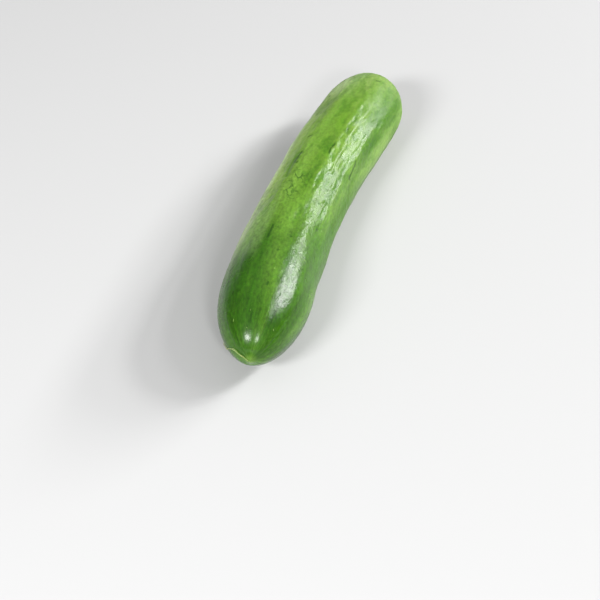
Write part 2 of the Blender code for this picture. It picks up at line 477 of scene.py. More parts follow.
def roll_up(tree, sheet, place):
    """Move the points of a sheet to their places, and join its edges where they meet."""
    rolled = add(tree, "GeometryNodeSetPosition", {"Geometry": sheet, "Position": place})
    return add(tree, "GeometryNodeMergeByDistance", {"Geometry": rolled, "Distance": SEAM_GAP})


def push_out(tree, geometry, distance):
    """Move a surface out along its own normals."""
    normal = add(tree, "GeometryNodeInputNormal")
    offset = add(tree, "ShaderNodeVectorMath", {0: normal, "Scale": distance}, operation="SCALE")
    return add(tree, "GeometryNodeSetPosition", {"Geometry": geometry, "Offset": offset})


def keep_on_points(tree, geometry, values):
    """Store named values on the points, for the material to read."""
    for name, value, kind in values:
        geometry = add(tree, "GeometryNodeStoreNamedAttribute", {
            "Geometry": geometry, "Name": name, "Value": value,
        }, data_type=kind)
    return geometry


# Colour along the fruit, from the blossom end to the stem end, darker by the blossom end partly as painted
# shade: share of the length and colour
SKIN_TONES = (
    (0.0, "4c7a26"), (0.06, "264f08"), (0.22, "2c5806"), (0.42, "57801e"), (0.75, "6c9030"), (1.0, "84a254"),
)

# Streaks that run along the skin from tip to tip: how far drawn out (less is longer), how
# many to a metre across, the noise values between which they come in, strength and colour
SKIN_STREAKS = (
    (0.10, 230.0, 0.50, 0.68, 0.22, "6a9426"),
    (0.08, 900.0, 0.50, 0.70, 0.12, "769f3a"),
)

# Patches and specks, in the same terms, and how much finer detail all of these have
SKIN_SPECKS = (
    (0.55, 75.0, 0.48, 0.68, 0.34, "51791a"),
    (0.60, 210.0, 0.50, 0.64, 0.36, "4f8014"),
    (0.75, 420.0, 0.50, 0.70, 0.42, "306408"),
)
SKIN_DETAIL = 2.0

# Fine streaks and mottling that lighten and darken the skin: how far drawn out, how many to
# a metre across, and how strong. They are bolder by the blossom end: the stations between
# which they fade, and how bold they are at each.
SKIN_MOTTLES = (
    (0.12, 280.0, 0.38),
    (0.12, 850.0, 0.36),
    (0.60, 1200.0, 0.85),
)
MOTTLE_ALONG = {"From Min": 0.020, "From Max": 0.130, "To Min": 1.6, "To Max": 0.6}

# Broad shades that differ from side to side, some the skin's own colour and some painted light,
# shade and reflection: angle and half width in degrees, station of the middle and half length, colour, and
# how strong it is
SKIN_PATCHES_AND_PAINTED_LIGHT = (
    # Darker left flank by the blossom end: partly the skin's own colour, partly painted shade
    (58, 58, 0.012, 0.040, "2b5808", 0.82),
    (98, 17, 0.044, 0.036, "6e9638", 0.40),
    (84, 13, 0.022, 0.032, "2e5f08", 0.40),
    (150, 17, 0.036, 0.044, "437505", 0.72),
    (156, 15, 0.124, 0.024, "4c7f0b", 0.65),
    (92, 13, 0.116, 0.014, "5a8d0e", 0.40),
    # Painted light: the left flank is lighter in the stem half
    (56, 40, 0.100, 0.062, "84ac4a", 0.72),
    # Painted reflection: the next two make a pale rim along the left side
    (36, 28, 0.092, 0.062, "acca6c", 0.55),
    (30, 18, 0.074, 0.052, "d2e8a8", 0.60),
    # Painted shade on the right side by the blossom end
    (162, 32, 0.026, 0.032, "2c5605", 0.65),
    # Paler stem end, partly its own colour and partly a painted reflection on its left rim
    (50, 40, 0.140, 0.021, "c4dca0", 0.62),
    # Painted shade to the right of the blossom tip
    (150, 42, 0.006, 0.022, "204804", 0.85),
    (142, 26, 0.130, 0.016, "487c0e", 0.72),
    # Painted shade over the right flank
    (166, 42, 0.080, 0.100, "417005", 0.80),
    (230, 24, 0.050, 0.050, "45770d", 0.55),
    (300, 22, 0.090, 0.050, "759d2a", 0.50),
    (5, 22, 0.060, 0.060, "4d7916", 0.50),
    # Painted reflection: the next two are pale bands along the right edge, by the stem and by the tip
    (176, 16, 0.118, 0.036, "98bc60", 0.55),
    (174, 14, 0.022, 0.018, "7ba54a", 0.32),
    (84, 15, 0.110, 0.028, "5f8a26", 0.45),
    (112, 13, 0.124, 0.015, "588618", 0.60),
    # Painted sheen: a pale grey-green patch on the left side
    (60, 20, 0.048, 0.019, "8aac66", 0.50),
    (150, 12, 0.078, 0.028, "86ac4c", 0.45),
)

# A shade is even over this share of its half length. Ragged edges: how far drawn out, blots
# to a metre, detail, and the noise values between which a shade comes in, from what is
# always left of it
SHADE_CORE = 0.4
RAGGED_NOISE = (0.3, 240.0, 3.0)
RAGGED_EDGES = {"From Min": 0.3, "From Max": 0.6, "To Min": 0.45}

# Pale rays that gather at each tip: their noise, how fast they change along the fruit, the
# noise values between which they come in, the radii between which they fade and their
# strength, and their colour
TIP_RAYS = {"Scale": 6.0, "Detail": 3.0, "Roughness": 0.7}
TIP_RAY_CHANGE = 40.0
TIP_RAY_EDGES = {"From Min": 0.50, "From Max": 0.68}
TIP_RAY_FADE = (0.002, 0.0135, 0.10)
TIP_RAY_COLOUR = "9cc06a"

# The skin pales round the stem scar, and in a small star on the blossom tip: how far in from
# the end, the radii between which that fades, its strength and colour
STEM_HALO = (0.010, 0.0042, 0.0085, 0.75, "9ab465")
BLOSSOM_STAR = (0.004, 0.0008, 0.0028, 0.42, "7fa63c")

# Hairline cracks in a patch on the upper side: its middle as a straight point, half its size
# each way, the share of it with no fading, cracks to a metre, how far drawn out, and how they
# are bent: blots to a metre, and how far
NET_CENTRE = (0.0715, 0.0012, 0.0148)
NET_REACH = (0.0125, 0.0048, 0.0048)
NET_CORE = 0.45
NET_SCALE = 400.0
NET_STRETCH = 0.6
NET_BENDS = 300.0
NET_BEND = 0.0035

# A crack's edges and strength, how it is broken up by noise, and its colour
CRACK_EDGES = {"From Min": 0.02, "From Max": 0.13, "To Min": 0.75, "To Max": 0.0}
CRACK_BREAKS = {"Scale": 260.0, "Detail": 1.0}
CRACK_SHOWN = {"From Min": 0.42, "From Max": 0.54}
CRACK_COLOUR = "2a540f"

# Painted shade in the hollows between the bumps, and the healed nicks' own darkest colour: the
# values between which each comes in, its strength and colour
HOLLOW_PAINTED_SHADE = (0.0, -0.00012, 0.45, "346809")
NICK_SHADE = (0.0, 1.0, 0.95, "1d4407")

# Wax: constant values, its roughness from the blossom end to the stem end in the same terms
# as the tones, and how that varies with the noise. Its pores are finer than the mesh can
# hold, and show less by the blossom end.
WAX = {
    "IOR": 1.40,
    "Subsurface Weight": 0.12,
    "Subsurface Radius": (0.5, 1.0, 0.15),
    "Subsurface Scale": 0.0015,
}
WAX_ROUGHNESS = ((0.0, 0.22), (0.05, 0.24), (0.12, 0.28), (0.42, 0.345), (0.74, 0.345), (0.89, 0.58))
WAX_PATCHES = {"From Min": 0.3, "From Max": 0.7, "To Min": 0.88, "To Max": 1.12}
PORES = {"Scale": 1500.0, "Detail": 3.0}
PORE_DEPTH = 0.00013
PORES_ALONG = {"From Max": 0.060, "To Min": 0.20, "To Max": 0.70}


def linear(code):
    """A colour from its sRGB hex code, as the linear values that Blender works in."""
    channels = [int(code[i:i + 2], 16) / 255 for i in (0, 2, 4)]
    return (*[c / 12.92 if c <= 0.04045 else ((c + 0.055) / 1.055) ** 2.4 for c in channels], 1.0)


def new_material(name, constants):
    """A Principled material with its constant values, and its tree and shader."""
    material = bpy.data.materials.new(name)
    material.use_nodes = True
    shader = material.node_tree.nodes["Principled BSDF"]
    for socket, value in constants.items():
        shader.inputs[socket].default_value = value
    return material, material.node_tree, shader


def rind_place(tree):
    """A point on the straight fruit, its station, and its distance and direction off the axis."""
    straight = add(tree, "ShaderNodeAttribute", (), "Vector", attribute_name="rind")
    station, across, up = add(tree, "ShaderNodeSeparateXYZ", (straight,)).node.outputs
    section = add(tree, "ShaderNodeCombineXYZ", {"Y": across, "Z": up})
    radius = add(tree, "ShaderNodeVectorMath", (section,), "Value", operation="LENGTH")
    direction = add(tree, "ShaderNodeVectorMath", (section,), operation="NORMALIZE")
    return straight, station, radius, direction


def from_stop_to_stop(tree, share, stops):
    """A colour, or a grey for a plain number, that goes from stop to stop with a share."""
    made = add(tree, "ShaderNodeValToRGB", (share,))
    elements = made.node.color_ramp.elements
    for place, _ in stops[1:-1]:
        elements.new(place)
    for element, (place, tone) in zip(elements, stops):
        element.position = place
        element.color = linear(tone) if isinstance(tone, str) else (tone, tone, tone, 1.0)
    return made


def lay_over(tree, share, under, code):
    """Lay a colour, given by its code, over another by a share."""
    return add(tree, "ShaderNodeMix", {0: share, 6: under, 7: linear(code)}, 2, data_type="RGBA")


def blotch(tree, under, value, low, high, strength, code):
    """Lay a colour over another, more of it as a value goes from one limit to the other."""
    share = add(tree, "ShaderNodeMapRange", {
        "Value": value, "From Min": low, "From Max": high, "To Max": strength,
    })
    return lay_over(tree, share, under, code)


def skin_material():
    """Living cucumber skin: translucent green under a clear wax, which gives the soft gloss."""
    material, tree, shader = new_material("waxy_cucumber_skin", WAX)
    straight, station, radius, direction = rind_place(tree)
    share = add(tree, "ShaderNodeMath", (station, BODY_SIZES["Length"]), operation="DIVIDE")
    colour = from_stop_to_stop(tree, share, SKIN_TONES)

    # Streaks, which draw together at the tips, and patches
    run = add(tree, "ShaderNodeAttribute", (), "Fac", attribute_name="run")
    along = add(tree, "ShaderNodeCombineXYZ", {"X": run})
    flow = add(tree, "ShaderNodeVectorMath", (
        direction, (UNROLL_RADIUS,) * 3, along,
    ), operation="MULTIPLY_ADD")
    for place, patterns in ((flow, SKIN_STREAKS), (straight, SKIN_SPECKS)):
        for stretch, scale, *paint in patterns:
            noise = drawn_out_noise(tree, place, stretch, scale, SKIN_DETAIL)
            colour = blotch(tree, colour, noise, *paint)

    # Fine streaks and mottling, which make the whole colour lighter and darker
    mottle = 0.0
    for stretch, scale, strength in SKIN_MOTTLES:
        mottle = add_noise(tree, mottle, flow, stretch, scale, SKIN_DETAIL, strength)
    boldness = add(tree, "ShaderNodeMapRange", {"Value": station, **MOTTLE_ALONG})
    brightness = add(tree, "ShaderNodeMath", (mottle, boldness, 1.0), operation="MULTIPLY_ADD")

    # Broad shades, the skin's own and painted light and shade, placed by the direction out of the axis, with
    # ragged edges
    edges = drawn_out_noise(tree, straight, *RAGGED_NOISE)
    ragged = add(tree, "ShaderNodeMapRange", {"Value": edges, **RAGGED_EDGES})
    for angle, half_width, middle, half_length, code, strength in SKIN_PATCHES_AND_PAINTED_LIGHT:
        towards = (0.0, math.cos(math.radians(angle)), math.sin(math.radians(angle)))
        facing = add(tree, "ShaderNodeVectorMath", (direction, towards), "Value", operation="DOT_PRODUCT")
        beside = add(tree, "ShaderNodeMapRange", {
            "Value": facing, "From Min": math.cos(math.radians(half_width)),
        }, interpolation_type="SMOOTHSTEP")
        apart = add(tree, "ShaderNodeMath", (station, middle), operation="SUBTRACT")
        away = add(tree, "ShaderNodeMath", (apart,), operation="ABSOLUTE")
        much = fade_away(tree, away, SHADE_CORE * half_length, half_length, strength)
        for less in (beside, ragged):
            much = add(tree, "ShaderNodeMath", (less, much), operation="MULTIPLY")
        colour = lay_over(tree, much, colour, code)

    # Pale rays at each tip, a halo round the stem scar, and a star on the blossom tip
    bent_rays = add(tree, "ShaderNodeVectorMath", (
        straight, (TIP_RAY_CHANGE, 0.0, 0.0), direction,
    ), operation="MULTIPLY_ADD")
    rays = add(tree, "ShaderNodeTexNoise", {"Vector": bent_rays, **TIP_RAYS})
    ray = add(tree, "ShaderNodeMapRange", {"Value": rays, **TIP_RAY_EDGES})
    near_tip = fade_away(tree, radius, *TIP_RAY_FADE)
    much = add(tree, "ShaderNodeMath", (ray, near_tip), operation="MULTIPLY")
    colour = lay_over(tree, much, colour, TIP_RAY_COLOUR)
    from_stem = add(tree, "ShaderNodeMath", (BODY_SIZES["Length"], station), operation="SUBTRACT")
    for distance, (end, inner, outer, strength, code) in ((from_stem, STEM_HALO), (station, BLOSSOM_STAR)):
        at_end = add(tree, "ShaderNodeMath", (distance, end), operation="LESS_THAN")
        pale = fade_away(tree, radius, inner, outer, strength)
        much = add(tree, "ShaderNodeMath", (pale, at_end), operation="MULTIPLY")
        colour = lay_over(tree, much, colour, code)

    # Hairline cracks
    from_patch = add(tree, "ShaderNodeVectorMath", (straight, NET_CENTRE), operation="SUBTRACT")
    patch_widths = add(tree, "ShaderNodeVectorMath", (from_patch, NET_REACH), operation="DIVIDE")
    off_patch = add(tree, "ShaderNodeVectorMath", (patch_widths,), "Value", operation="LENGTH")
    in_patch = add(tree, "ShaderNodeMapRange", {
        "Value": off_patch, "From Min": NET_CORE, "To Min": 1.0, "To Max": 0.0,
    })
    bends = add(tree, "ShaderNodeTexNoise", {"Vector": straight, "Scale": NET_BENDS}, "Color")
    lengthened = add(tree, "ShaderNodeVectorMath", (straight, (NET_STRETCH, 1.0, 1.0)), operation="MULTIPLY")
    bent = add(tree, "ShaderNodeVectorMath", (bends, (NET_BEND,) * 3, lengthened), operation="MULTIPLY_ADD")
    to_crack = add(tree, "ShaderNodeTexVoronoi", {
        "Vector": bent, "Scale": NET_SCALE,
    }, "Distance", feature="DISTANCE_TO_EDGE")
    crack = add(tree, "ShaderNodeMapRange", {"Value": to_crack, **CRACK_EDGES})
    broken = add(tree, "ShaderNodeTexNoise", {"Vector": straight, **CRACK_BREAKS})
    shown = add(tree, "ShaderNodeMapRange", {"Value": broken, **CRACK_SHOWN})
    for less in (shown, in_patch):
        crack = add(tree, "ShaderNodeMath", (crack, less), operation="MULTIPLY")
    colour = lay_over(tree, crack, colour, CRACK_COLOUR)

    # Painted shade in the hollows, and the nicks' dark colour, as the mesh has them
    for name, shade in (("relief", HOLLOW_PAINTED_SHADE), ("nick", NICK_SHADE)):
        value = add(tree, "ShaderNodeAttribute", (), "Fac", attribute_name=name)
        colour = blotch(tree, colour, value, *shade)
    colour = add(tree, "ShaderNodeHueSaturation", {"Value": brightness, "Color": colour})
    tree.links.new(colour, shader.inputs["Base Color"])

    # Pores and cracks in the wax
    pores = add(tree, "ShaderNodeTexNoise", {"Vector": straight, **PORES})
    sunk = add(tree, "ShaderNodeMath", (crack, -1.0, pores), operation="MULTIPLY_ADD")
    coarser = add(tree, "ShaderNodeMapRange", {"Value": station, **PORES_ALONG})
    bump = add(tree, "ShaderNodeBump", {"Height": sunk, "Distance": PORE_DEPTH, "Strength": coarser})
    tree.links.new(bump, shader.inputs["Normal"])
    even = from_stop_to_stop(tree, share, WAX_ROUGHNESS)
    patchy = add(tree, "ShaderNodeMapRange", {"Value": broken, **WAX_PATCHES})
    rough = add(tree, "ShaderNodeMath", (even, patchy), operation="MULTIPLY")
    tree.links.new(rough, shader.inputs["Roughness"])
    return material


tree, size = new_tree("fruit", FRUIT_SIZES)
sheet, along, across = round_sheet(tree, size["Rings"], size["Sides"])
share = add(tree, "ShaderNodeMath", (along, 0.5))
angle = add(tree, "ShaderNodeMath", (across, -math.tau, math.pi / 2), operation="MULTIPLY_ADD")
station, radius = outline_place(tree, half_outline(tree, size), share)
rind = straight_point(tree, station, radius, angle)

draw = random.Random(LINE_SEED)
folds = [*SEEN_FOLDS, *more_lines(draw, *MORE_FOLDS)]
ridges = [*SEEN_RIDGES, *more_lines(draw, *MORE_RIDGES)]
nicks = [*SEEN_NICKS, *more_lines(draw, *MORE_PITS), *more_lines(draw, *MORE_CREASES)]
furrows = [wandering_line(draw, tip_angle, *BLOSSOM_FURROW_RUN) for tip_angle in BLOSSOM_FURROWS]
for i in range(STEM_FURROWS):
    stray = draw.uniform(-STEM_FURROW_STRAY, STEM_FURROW_STRAY)
    furrows.append(wandering_line(draw, 360 / STEM_FURROWS * (i + stray) - 90, *STEM_FURROW_RUN))
skin_lines = [unrolled_lines(lines) for lines in (folds, ridges, nicks, furrows)]

# Folds and ridges waver, and come and go, while nicks and furrows keep to their lines
way_round = add(tree, "ShaderNodeMath", (angle, UNROLL_RADIUS), operation="MULTIPLY")
unrolled = add(tree, "ShaderNodeCombineXYZ", {"X": station, "Y": way_round})
waver = centred_noise(tree, unrolled, *WAVER_NOISE)
wavering = add(tree, "ShaderNodeVectorMath", (
    waver, (0.0, WAVER_REACH, 0.0), unrolled,
), operation="MULTIPLY_ADD")
blots = add(tree, "ShaderNodeTexNoise", {"Vector": unrolled, **COME_AND_GO_NOISE})
shown = add(tree, "ShaderNodeMapRange", {"Value": blots, **COME_AND_GO})
off_tip = add(tree, "ShaderNodeMapRange", {"Value": radius, **FURROW_RADII}, interpolation_type="SMOOTHSTEP")
fold_lines, ridge_lines, nick_lines, furrow_lines = skin_lines
nick = nearness(tree, nick_lines, unrolled, NICK_HALF_WIDTH)
fold, ridge, furrow = [
    add(tree, "ShaderNodeMath", (nearness(tree, lines, place, half_width), left), operation="MULTIPLY")
    for lines, place, half_width, left in (
        (fold_lines, wavering, FOLD_HALF_WIDTH, shown),
        (ridge_lines, wavering, RIDGE_HALF_WIDTH, shown),
        (furrow_lines, unrolled, FURROW_HALF_WIDTH, off_tip),
    )
]

# Bumps, folds and ridges are lower by the blossom end, while nicks and furrows are not
relief = 0.0
for row in BUMPS:
    relief = add_noise(tree, relief, rind, *row)
for near, height in ((fold, -FOLD_DEPTH), (ridge, RIDGE_HEIGHT)):
    relief = add(tree, "ShaderNodeMath", (near, height, relief), operation="MULTIPLY_ADD")
for first, last, before, after in BUMPS_ALONG:
    calm = add(tree, "ShaderNodeMapRange", {
        "Value": station, "From Min": first, "From Max": last, "To Min": before / after,
    }, interpolation_type="SMOOTHSTEP")
    relief = add(tree, "ShaderNodeMath", (relief, calm), operation="MULTIPLY")
for near, height in ((nick, -NICK_DEPTH), (furrow, -FURROW_DEPTH)):
    relief = add(tree, "ShaderNodeMath", (near, height, relief), operation="MULTIPLY_ADD")
run = add(tree, "ShaderNodeMath", (share, size["Outline length"]), operation="MULTIPLY")
sheet = keep_on_points(tree, sheet, (
    ("rind", rind, "FLOAT_VECTOR"), ("nick", nick, "FLOAT"),
    ("relief", relief, "FLOAT"), ("run", run, "FLOAT"),
))

# The stem end has a cup for the scar, and both tips have their rings
swollen = add(tree, "ShaderNodeMath", (radius, body_relief(tree, size, station, angle)))
cup_edge = add(tree, "ShaderNodeMath", (size["Cup radius"], size["Cup wall"]))
cup_floor = add(tree, "ShaderNodeMath", (size["Cup depth"], -1.0), operation="MULTIPLY")
cup = fade_away(tree, radius, size["Cup radius"], cup_edge, cup_floor)
stem_shift = add(tree, "ShaderNodeMath", (cup, ring_relief(tree, STEM_RINGS, radius)))
blossom_rings = ring_relief(tree, BLOSSOM_RINGS, radius)
blossom_shift = add(tree, "ShaderNodeMath", (blossom_rings, -1.0), operation="MULTIPLY")
in_stem_half = add(tree, "ShaderNodeMath", (share, 0.5), operation="GREATER_THAN")
shift = add(tree, "GeometryNodeSwitch", {
    "Switch": in_stem_half, "False": blossom_shift, "True": stem_shift,
}, input_type="FLOAT")
shifted = add(tree, "ShaderNodeMath", (station, shift))
place = bent_point(tree, size, straight_point(tree, shifted, swollen, angle))
closed = roll_up(tree, sheet, place)
stored_relief = add(tree, "GeometryNodeInputNamedAttribute", {"Name": "relief"}, data_type="FLOAT")
rough = push_out(tree, closed, stored_relief)

# No point of it is lower than the surface it lies on
here = add(tree, "GeometryNodeInputPosition")
cut_level = add(tree, "ShaderNodeVectorMath", (here, (-1.0, -1.0, 0.0)), operation="MAXIMUM")
lying = add(tree, "GeometryNodeSetPosition", {"Geometry": rough, "Position": cut_level})
fruit = grow("cucumber_skin", tree, FRUIT_SIZES, lying, skin_material())
for lines in skin_lines:
    bpy.data.objects.remove(lines)
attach(fruit, "root")
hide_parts("cucumber")

# Stem scar. The stalk broke off here and left a corky disc, which sits in the cup of the
# stem end, a little below its rim. It has a soft pith and a ring of sap bundles.
DISC_SIZES = {
    **BODY_SIZES,
    "Disc radius": 0.0040,
    "Disc half thickness": 0.0004,
    "Disc centre": 0.1493,
    "Pith hollow": 0.00010,
    "Pith radius": 0.0011,
    "Bundles": 9,
    "Bundle height": 0.00010,
    "Bundle ring": 0.0023,
    "Bundle half width": 0.00055,
    "Disc rings": 130,
    "Disc sides": 220,
}

# Its edge: how full it is (less is fuller), and how it wavers: waves and share of the radius
DISC_EDGE_POWER = 0.42
DISC_WAVES = 1.6
DISC_WAVER = 0.16

# Radial fibres and grain, in the same terms as the bumps. The bundles come in between two
# values of a wave round the disc. Its outer face alone has relief, which comes in past the rim.
DISC_FIBRES = (1.0, 9.0, 1.0, 0.00032)
DISC_GRAIN = (1.0, 1500.0, 2.0, 0.00016)
BUNDLE_WAVE = {"From Min": 0.2, "From Max": 0.9}
DISC_FACE = {"From Min": -0.2, "From Max": -0.8}

# Cork: constant values, and colour from its middle to its edge: share of the radius and
# colour. Blots also make the rings of colour waver. Fibres, blots and bundles are tinted in
# the same terms as the hollows. The grain: to a metre, detail, depth and strength.
CORK = {
    "Roughness": 0.82,
    "IOR": 1.4,
    "Subsurface Weight": 0.08,
    "Subsurface Radius": (1.0, 0.8, 0.3),
    "Subsurface Scale": 0.0008,
}
CORK_TONES = (
    (0.0, "6d742c"), (0.28, "848a40"), (0.55, "9ea35b"), (0.82, "a8a662"), (0.96, "a3894d"), (1.0, "7f7b3a"),
)
CORK_BLOTS = {"Scale": 900.0, "Detail": 3.0}
CORK_WAVER = 0.0030
CORK_FIBRES = {"Scale": 14.0, "Detail": 3.0}
FIBRE_TINT = (0.45, 0.65, 0.45, "cfd09a")
BLOT_TINT = (0.56, 0.70, 0.6, "6f7a2c")
BUNDLE_TINT = (0.0, 1.0, 0.6, "d8d6a4")
CORK_GRAIN = (4200.0, 3.0, 0.00008, 0.9)


def give_grain(tree, shader, place, scale, detail, depth, strength):
    """Give a material a fine grain that catches the light."""
    grain = add(tree, "ShaderNodeTexNoise", {"Vector": place, "Scale": scale, "Detail": detail})
    bump = add(tree, "ShaderNodeBump", {"Height": grain, "Distance": depth, "Strength": strength})
    tree.links.new(bump, shader.inputs["Normal"])


def cork_material():
    """Dry corky tissue over the broken stalk: rough, buff at the edge and olive in the middle."""
    material, tree, shader = new_material("corky_stem_scar", CORK)
    straight, _, radius, direction = rind_place(tree)
    blots = add(tree, "ShaderNodeTexNoise", {"Vector": straight, **CORK_BLOTS})
    uneven = add(tree, "ShaderNodeMath", (blots, 0.5), operation="SUBTRACT")
    waver = add(tree, "ShaderNodeMath", (uneven, CORK_WAVER, radius), operation="MULTIPLY_ADD")
    share = add(tree, "ShaderNodeMath", (waver, DISC_SIZES["Disc radius"]), operation="DIVIDE")
    colour = from_stop_to_stop(tree, share, CORK_TONES)
    fibres = add(tree, "ShaderNodeTexNoise", {"Vector": direction, **CORK_FIBRES})
    bundle = add(tree, "ShaderNodeAttribute", (), "Fac", attribute_name="bundle")
    for value, tint in ((fibres, FIBRE_TINT), (blots, BLOT_TINT), (bundle, BUNDLE_TINT)):
        colour = blotch(tree, colour, value, *tint)
    tree.links.new(colour, shader.inputs["Base Color"])
    give_grain(tree, shader, straight, *CORK_GRAIN)
    return material


tree, size = new_tree("stem_scar", DISC_SIZES)
sheet, along, across = round_sheet(tree, size["Disc rings"], size["Disc sides"])
angle = add(tree, "ShaderNodeMath", (across, -math.tau), operation="MULTIPLY")
turn = add(tree, "ShaderNodeMath", (along, math.pi, math.pi / 2), operation="MULTIPLY_ADD")

# The disc is a flattened ball with a wavering edge
out = add(tree, "ShaderNodeMath", (turn,), operation="SINE")
out = add(tree, "ShaderNodeMath", (out, 0.0), operation="MAXIMUM")
out = add(tree, "ShaderNodeMath", (out, DISC_EDGE_POWER), operation="POWER")
direction = straight_point(tree, 0.0, 1.0, angle)
waves = add(tree, "ShaderNodeTexNoise", {"Vector": direction, "Scale": DISC_WAVES})
waver = add(tree, "ShaderNodeMapRange", {
    "Value": waves, "To Min": 1.0 - DISC_WAVER, "To Max": 1.0 + DISC_WAVER,
})
radius = add(tree, "ShaderNodeMath", (out, size["Disc radius"]), operation="MULTIPLY")
radius = add(tree, "ShaderNodeMath", (radius, waver), operation="MULTIPLY")
side = add(tree, "ShaderNodeMath", (turn,), operation="COSINE")
rise = add(tree, "ShaderNodeMath", (side, size["Disc half thickness"]), operation="MULTIPLY")
station = add(tree, "ShaderNodeMath", (size["Disc centre"], rise), operation="SUBTRACT")
disc_point = straight_point(tree, station, radius, angle)

# Relief of its face: radial fibres, grain, a ring of sap bundles, and the sunken pith
relief = add_noise(tree, 0.0, direction, *DISC_FIBRES)
relief = add_noise(tree, relief, disc_point, *DISC_GRAIN)
round_turn = add(tree, "ShaderNodeMath", (angle, size["Bundles"]), operation="MULTIPLY")
wave = add(tree, "ShaderNodeMath", (round_turn,), operation="COSINE")
spaced = add(tree, "ShaderNodeMapRange", {"Value": wave, **BUNDLE_WAVE}, interpolation_type="SMOOTHSTEP")
apart = add(tree, "ShaderNodeMath", (radius, size["Bundle ring"]), operation="SUBTRACT")
off_ring = add(tree, "ShaderNodeMath", (apart,), operation="ABSOLUTE")
on_ring = fade_away(tree, off_ring, 0.0, size["Bundle half width"])
bundle = add(tree, "ShaderNodeMath", (spaced, on_ring), operation="MULTIPLY")
relief = add(tree, "ShaderNodeMath", (bundle, size["Bundle height"], relief), operation="MULTIPLY_ADD")
hollow = fade_away(tree, radius, 0.0, size["Pith radius"], size["Pith hollow"])
relief = add(tree, "ShaderNodeMath", (relief, hollow), operation="SUBTRACT")
on_face = add(tree, "ShaderNodeMapRange", {"Value": side, **DISC_FACE})
relief = add(tree, "ShaderNodeMath", (relief, on_face), operation="MULTIPLY")
raised = add(tree, "ShaderNodeMath", (station, relief))
sheet = keep_on_points(tree, sheet, (("rind", disc_point, "FLOAT_VECTOR"), ("bundle", bundle, "FLOAT")))
place = bent_point(tree, size, straight_point(tree, raised, radius, angle))
stem_scar = grow("stem_scar", tree, DISC_SIZES, roll_up(tree, sheet, place), cork_material())
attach(stem_scar, "root")

# Flower thread. The withered style of the flower still clings to the blossom end: a bundle
# of dry strands that starts on the tip, lies along the skin and comes apart at its end.
THREAD_SIZES = {
    **BODY_SIZES,
    "Thread start": 0.0004,
    "Thread end": 0.0146,
    "Start angle": math.radians(19.0),
    "Swing": math.radians(-35.0),
    "Swing from": 0.34,
    "Swing by": 0.78,
    "Crinkle": 0.00072,
    "Stray from": 0.6,
    "Taper from": 0.3,
    "Lift": 0.00045,
    "Thread points": 110,
    "Thread sides": 8,
}

# Each strand: where it starts and ends along the thread, its radius, how much further noise
# throws it at its end, and which part of the noise it takes its crinkles from. Its radius at
# the tip, and how near the skin it lies, are shares of its radius.
STRANDS = (
    (0.00, 1.00, 0.00018, 0.0008, 0.0),
    (0.00, 0.97, 0.00014, 0.0036, 3.0),
    (0.05, 0.93, 0.00012, 0.0048, 7.0),
    (0.55, 1.04, 0.00008, 0.0056, 11.0),
)
STRAND_TIP = 0.3
STRAND_CLOSE = 0.8

# Crinkles to a metre, and their detail. Places where a strand comes loose, in the same terms,
# and the noise values between which it lifts. Its shrivelling, and how far that goes in and out.
CRINKLES = (420.0, 2.0)
LOOSE_NOISE = {"Scale": 260.0, "Detail": 1.0}
LOOSE_EDGES = {"From Min": 0.4, "From Max": 0.7}
SHRIVEL_NOISE = {"Scale": 2600.0, "Detail": 1.0}
SHRIVEL_DEPTHS = {"To Min": -0.00012, "To Max": 0.00010}

# Straw: constant values, and colour from the fruit to the free end: share of the length and
# colour. Blots, their tint and the grain are in the same terms as the cork's.
STRAW = {
    "Roughness": 0.62,
    "Subsurface Weight": 0.15,
    "Subsurface Radius": (1.0, 0.9, 0.4),
    "Subsurface Scale": 0.0004,
}
STRAW_TONES = ((0.0, "7f9e48"), (0.18, "94ae64"), (0.60, "9fb577"), (0.88, "9aa570"), (1.0, "8a8a54"))
STRAW_BLOTS = 1400.0
STRAW_TINT = (0.52, 0.68, 0.6, "a3a35c")
STRAW_GRAIN = (5000.0, 2.0, 0.00005, 0.8)


def straw_material():
    """A dried flower style: papery and matte, green by the fruit and straw at its end."""
    material, tree, shader = new_material("dried_flower_style", STRAW)
    along = add(tree, "ShaderNodeAttribute", (), "Fac", attribute_name="along")
    place = add(tree, "ShaderNodeTexCoord", (), "Object")
    blots = add(tree, "ShaderNodeTexNoise", {"Vector": place, "Scale": STRAW_BLOTS})
    colour = blotch(tree, from_stop_to_stop(tree, along, STRAW_TONES), blots, *STRAW_TINT)
    tree.links.new(colour, shader.inputs["Base Color"])
    give_grain(tree, shader, place, *STRAW_GRAIN)
    return material


